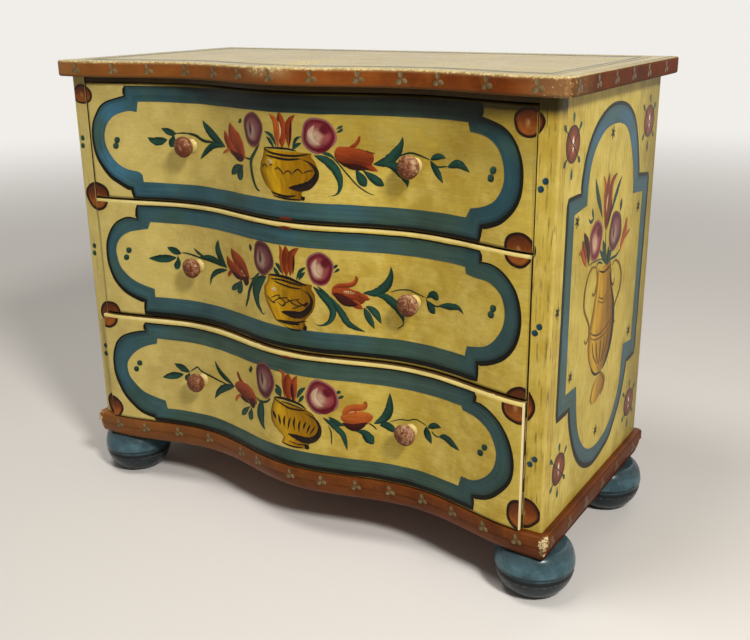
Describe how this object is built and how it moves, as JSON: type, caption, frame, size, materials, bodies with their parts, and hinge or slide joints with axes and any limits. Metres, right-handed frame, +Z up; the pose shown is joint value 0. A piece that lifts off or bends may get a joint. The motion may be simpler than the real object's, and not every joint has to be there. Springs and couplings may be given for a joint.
{
  "type": "chest of drawers",
  "caption": "Small folk-painted pine chest with serpentine drawer fronts, moulded base, rounded top and turned bun feet.",
  "frame": {"origin": "on the floor, under the middle of the top board in depth and the middle of the chest in width", "axes": "+X to the right as seen from the front, +Y to the back, +Z up"},
  "size_m": [0.774, 0.374, 0.624],
  "materials": {
    "yellow_paint": "satin oil paint over pine, crackled and worn at the edges",
    "red_paint": "satin red-brown paint over pine, chipped to pale wood at the arrises",
    "blue_paint": "satin blue-grey paint over turned wood, rubbed",
    "knob_paint": "rubbed pink-brown paint over turned wood",
    "bare_pine": "bare planed pine, aged"
  },
  "bodies": {
    "carcase": {"back_plank_1": "bare_pine", "back_plank_2": "bare_pine", "back_plank_3": "bare_pine", "base_board": "red_paint", "divider_rail_lower": "bare_pine", "divider_rail_upper": "bare_pine", "foot_back_left": "blue_paint", "foot_back_right": "blue_paint", "foot_front_left": "blue_paint", "foot_front_right": "blue_paint", "kicker_left": "bare_pine", "kicker_right": "bare_pine", "runner_left_1": "bare_pine", "runner_left_2": "bare_pine", "runner_left_3": "bare_pine", "runner_right_1": "bare_pine", "runner_right_2": "bare_pine", "runner_right_3": "bare_pine", "side_board_left": "yellow_paint", "side_board_right": "yellow_paint", "stile_left": "yellow_paint", "stile_right": "yellow_paint", "top_board": "red_paint", "top_rail_back": "bare_pine", "top_rail_front": "red_paint"},
    "drawer_1": {"drawer_1_back": "bare_pine", "drawer_1_bottom": "bare_pine", "drawer_1_front": "yellow_paint", "drawer_1_knob_left": "knob_paint", "drawer_1_knob_right": "knob_paint", "drawer_1_side_left": "bare_pine", "drawer_1_side_right": "bare_pine"},
    "drawer_2": {"drawer_2_back": "bare_pine", "drawer_2_bottom": "bare_pine", "drawer_2_front": "yellow_paint", "drawer_2_knob_left": "knob_paint", "drawer_2_knob_right": "knob_paint", "drawer_2_side_left": "bare_pine", "drawer_2_side_right": "bare_pine"},
    "drawer_3": {"drawer_3_back": "bare_pine", "drawer_3_bottom": "bare_pine", "drawer_3_front": "yellow_paint", "drawer_3_knob_left": "knob_paint", "drawer_3_knob_right": "knob_paint", "drawer_3_side_left": "bare_pine", "drawer_3_side_right": "bare_pine"}
  },
  "joints": [
    {"name": "drawer_1_slide", "type": "slide", "parent": "carcase", "child": "drawer_1", "axis": [0, -1, 0], "range_m": [0, 0.24]},
    {"name": "drawer_2_slide", "type": "slide", "parent": "carcase", "child": "drawer_2", "axis": [0, -1, 0], "range_m": [-0.002, 0.238]},
    {"name": "drawer_3_slide", "type": "slide", "parent": "carcase", "child": "drawer_3", "axis": [0, -1, 0], "range_m": [-0.01, 0.23]}
  ]
}
